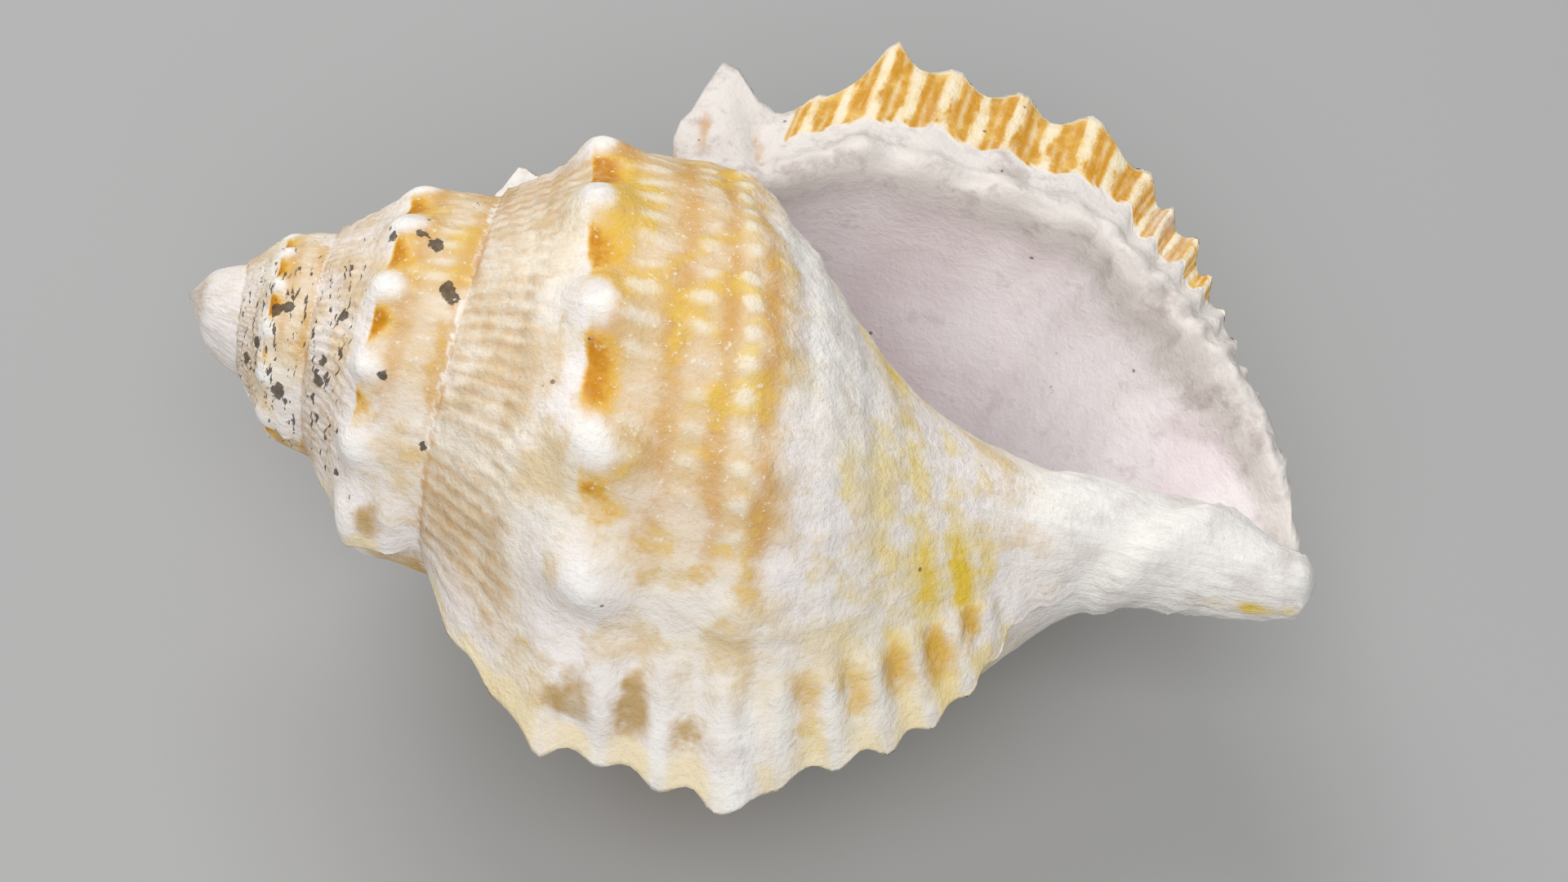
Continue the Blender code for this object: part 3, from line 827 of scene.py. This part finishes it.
# The ramp's tan folds, with painted shade in deep tan in the grooves between them
colour = mix(times(mask("ramp"), 0.45), colour, RAMP_WASH)
folds = between(broken(mask("ramp"), growth, 1.7), 0.25, 1.30)
colour = mix(times(folds, 0.80), colour, TAN)
# Painted shade: deep tan where the ramp lies between its folds and threads
groove_shade = maths("SUBTRACT", 1.1, maths("MULTIPLY_ADD", on_fold, 0.7, times(on_rib, 0.3)))
groove_shade = broken(broken(times(mask("ramp"), groove_shade), mottle, 0.8), patchy, 0.9)
colour = mix(times(between(groove_shade, 0.10, 1.0), 0.75), colour, TAN_GROOVE_SHADE)
colour = mix(times(mask("ramp"), between(mottle, 0.50, 0.70), 0.6), colour, LILAC_GREY)
# The ochre band, darker in columns between the cords and broken by soft white beads
zone = mask("zone")
colour = mix(times(between(broken(zone, patchy, 1.0), 0.05, 0.85), 0.9), colour, PALE_OCHRE)
columns = broken(broken(times(zone, between_cords), patchy, 1.6), fleck, 0.8)
colour = mix(times(between(columns, 0.10, 1.0), 0.8), colour, OCHRE)
gold = times(zone, between(cloud, 0.42, 0.60), maths("MULTIPLY_ADD", mask("dust"), -0.8, 1.0))
colour = mix(times(between(broken(gold, mottle, 1.8), 0.15, 0.95), 0.85), colour, GOLD)
deep = mask("deep")
deep = times(between(deep, 0.0, 0.25), broken(broken(deep, mottle, 1.0), patchy, 1.2), 1.15)
colour = mix(times(between(deep, 0.0, 0.80), 0.9), colour, AMBER)
colour = mix(between(deep, 0.35, 1.15), colour, DEEP_ORANGE)
# Yellow in the grooves of the base
streaks = times(mask("base"), maths("MULTIPLY_ADD", between_cords, 0.6, 0.75))
streaks = broken(broken(streaks, patchy, 2.0), mottle, 1.0)
colour = mix(times(between(streaks, 0.25, 1.10), 0.8), colour, PALE_YELLOW)
colour = mix(times(between(broken(streaks, fleck, 1.2), 0.95, 1.7), 0.9), colour, BRIGHT_YELLOW)
# The varices: cream edge, olive-brown patches between the ribs behind it, orange bars in front of it
edge = mask("edge")
edge = broken(times(edge, maths("MULTIPLY_ADD", between_cords, 0.5, 0.6)), patchy, 1.2)
colour = mix(times(between(edge, 0.1, 0.9), 0.7), colour, EDGE_CREAM)
patches = broken(times(mask("patches"), maths("MULTIPLY_ADD", between_cords, 0.8, 0.5)), patchy, 1.5)
patches = times(between(mask("patches"), 0.0, 0.3), patches)
colour = mix(times(between(broken(patches, mottle, 0.8), 0.20, 1.0), 0.9), colour,
             mix(between(broken(across_at, cloud, 2.0), 3.6, 4.8), OLIVE_BROWN, OLIVE_GOLD))
fine_ribs = noise(add("ShaderNodeMapping", whorl, None, None, (260, 9, 1)).outputs[0], 1.0, 4, 0.65)
ridges = between(broken(broken(on_rib, fine_ribs, 1.2), fleck, 0.7), 0.45, 1.25)
bars = times(mask("bars"), maths("SUBTRACT", 1.0, ridges))
colour = mix(between(mask("bars"), 0.2, 0.6), colour, BAR_CREAM)
threads = times(on_thread, between(broken(fine_ribs, patchy, 0.5), 0.35, 0.60))
barred = times(mask("bars"), between(broken(broken(bars, fleck, 0.7), mottle, 1.0), 0.05, 0.95),
               maths("MULTIPLY_ADD", threads, -0.6, 1.0))
colour = mix(times(barred, 0.95), colour, BAR_YELLOW)
colour = mix(times(barred, between(broken(broken(bars, mottle, 1.6), patchy, 1.4), 0.40, 1.15), 0.9), colour,
             BAR_ORANGE)
# White: beads, knob tops, the callus and the rostrum
beads = maths("ADD", times(zone, 0.95), times(mask("base"), 0.5))
beads = times(on_cord, on_bead, between(deep, 0.4, 0.1), beads)
colour = mix(times(between(broken(broken(beads, patchy, 1.6), fleck, 0.6), 0.10, 1.05), 0.75), colour,
             BEAD_WHITE)
scratches = times(between(grain, 0.60, 0.68), between(zone, 0.1, 0.6), 0.6)
colour = mix(scratches, colour, SCRATCH_WHITE)
white = between(broken(broken(mask("white"), patchy, 0.7), fleck, 0.4), 0.10, 0.90)
colour = mix(white, colour, mix(between(mottle, 0.45, 0.70), CHALK_WHITE, CHALK_SHADE))
# The lip and the mouth: grey-white, then pale lilac with rosy clouds and paler scrapes
glaze = mask("glaze")
colour = mix(times(glaze, 0.75), colour, mix(between(mottle, 0.48, 0.68), LIP_WHITE, LIP_SHADE))
rosy = mix(between(noise(place, 42, 3, 0.6), 0.44, 0.60), PORCELAIN, ROSE)
rosy = mix(times(between(patchy, 0.50, 0.68), 0.6), rosy, PALE_SCRAPE)
rosy = mix(times(between(mottle, 0.55, 0.70), 0.5), rosy, MOUTH_SHADE)
colour = mix(mask("mouth"), colour, rosy)
# Brown along the sutures and painted shade in brown along the flute's crease, dark crusts on the spire, and
# pinprick stains all over
colour = mix(times(between(broken(broken(mask("line"), mottle, 0.8), patchy, 0.8), 0.25, 0.95), 0.75), colour,
             SUTURE_BROWN_AND_CREASE_SHADE)
spots = add("ShaderNodeTexVoronoi", place)
spots.inputs["Scale"].default_value = 260
spot_draw = add("ShaderNodeSeparateColor", spots.outputs["Color"]).outputs[0]
pinprick = times(between(spots.outputs["Distance"], 0.075, 0.045), between(spot_draw, 0.70, 0.72))
colour = mix(times(pinprick, 0.8), colour, PINPRICK_BROWN)
crusty = noise(add("ShaderNodeMapping", whorl, None, None, (32, 6, 1)).outputs[0], 1.0, 3, 0.65)
large_crusts = between(broken(broken(mask("speck"), fleck, 1.6), mottle, 0.8), 0.44, 0.54)
small_crusts = between(maths("MULTIPLY_ADD", mask("dust"), 0.21, crusty), 0.800, 0.820)
crust = maths("MAXIMUM", large_crusts, small_crusts)
colour = mix(times(crust, 0.88), colour, mix(between(grain, 0.4, 0.6), CRUST_DARK, CRUST_LIGHT))
links.new(colour, finish.inputs["Base Color"])

# Gloss and grain: chalky outside, smoother where it is glazed
CHALK_ROUGHNESS = 0.68
GLAZE_ROUGHNESS = 0.46
GRAIN_STRENGTH = 0.75
GRAIN_DEPTH = 0.0005
SHEEN = 0.25
roughness = add("ShaderNodeMapRange", glaze, 0.0, 1.0, CHALK_ROUGHNESS, GLAZE_ROUGHNESS).outputs[0]
links.new(broken(roughness, fleck, 0.2), finish.inputs["Roughness"])
pits = maths("ADD", times(grain, 0.5), times(growth, 0.6))
pits = maths("ADD", pits, mottle)
pits = maths("ADD", pits, times(fleck, 0.5))
pits = times(pits, maths("SUBTRACT", 1.0, times(glaze, 0.45)))
pitted = add("ShaderNodeBump")
pitted.inputs["Strength"].default_value = GRAIN_STRENGTH
pitted.inputs["Distance"].default_value = GRAIN_DEPTH
links.new(pits, pitted.inputs["Height"])
links.new(pitted.outputs[0], finish.inputs["Normal"])
finish.inputs["Specular IOR Level"].default_value = SHEEN
mesh.materials.append(material)

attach(shell, "root")
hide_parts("shell")


# The studio.
# A plain grey floor that reaches far past the shell, two soft lights above it, one on either side of it,
# and pale air that lights it from all round.
FLOOR_REACH = 3.0
FLOOR_GREY = srgb(164, 164, 164)
FLOOR_ROUGHNESS = 0.9
floor_mesh = bpy.data.meshes.new("floor")
bm = bmesh.new()
bmesh.ops.create_grid(bm, x_segments=1, y_segments=1, size=FLOOR_REACH)
bm.to_mesh(floor_mesh)
bm.free()
floor = bpy.data.objects.new("floor", floor_mesh)
bpy.context.scene.collection.objects.link(floor)
floor_paint = bpy.data.materials.new("floor_paint")
floor_paint.use_nodes = True
floor_finish = floor_paint.node_tree.nodes["Principled BSDF"]
floor_finish.inputs["Base Color"].default_value = FLOOR_GREY
floor_finish.inputs["Roughness"].default_value = FLOOR_ROUGHNESS
floor_mesh.materials.append(floor_paint)


def toward(turn):
    """The world direction that a given turn of the shell faces."""
    angle = 2 * pi * turn
    return laid.to_3x3() @ Vector((0, cos(angle), sin(angle)))


# The camera: the turn that faces it, how far the axis slopes in the picture, the place at its middle as mm
# along the axis and above it, and the distance in mm
FACING_TURN = -0.69
AXIS_SLOPE = radians(14.5)
VIEW_CENTRE = (58.0, 0.64)
VIEW_DISTANCE = 309.0
LENS = 75
SENSOR_WIDTH = 36
axis = laid.to_3x3() @ shell_axis
across_view = toward(FACING_TURN - 0.25)
back = toward(FACING_TURN)
right = axis * cos(AXIS_SLOPE) + across_view * sin(AXIS_SLOPE)
above = across_view * cos(AXIS_SLOPE) - axis * sin(AXIS_SLOPE)
centre = APEX_AT + axis * VIEW_CENTRE[0] + across_view * VIEW_CENTRE[1]
camera_data = bpy.data.cameras.new("camera")
camera_data.lens = LENS
camera_data.sensor_width = SENSOR_WIDTH
camera_data.clip_start = 0.01
camera = bpy.data.objects.new("camera", camera_data)
turned = Matrix((right, above, back)).transposed().to_4x4()
camera.matrix_world = Matrix.Translation((centre + back * VIEW_DISTANCE) * MM) @ turned
bpy.context.scene.collection.objects.link(camera)
bpy.context.scene.camera = camera


def soft_light(name, where, size, power):
    """A square light of a size in m and a power in watts, turned to the middle of the floor."""
    light = bpy.data.lights.new(name, "AREA")
    light.size = size
    light.energy = power
    thing = bpy.data.objects.new(name, light)
    thing.location = where
    thing.rotation_euler = (-Vector(where)).to_track_quat("-Z", "Y").to_euler()
    bpy.context.scene.collection.objects.link(thing)


soft_light("key_light", (-0.28, 0.42, 0.55), 0.45, 2.9)
soft_light("fill_light", (0.02, -0.42, 0.62), 0.6, 3.8)
AIR_STRENGTH = 0.38
world = bpy.data.worlds.new("pale_air")
world.use_nodes = True
air = world.node_tree.nodes["Background"]
air.inputs["Color"].default_value = (1.0, 1.0, 1.0, 1.0)
air.inputs["Strength"].default_value = AIR_STRENGTH
bpy.context.scene.world = world
bpy.context.scene.view_settings.view_transform = "Standard"
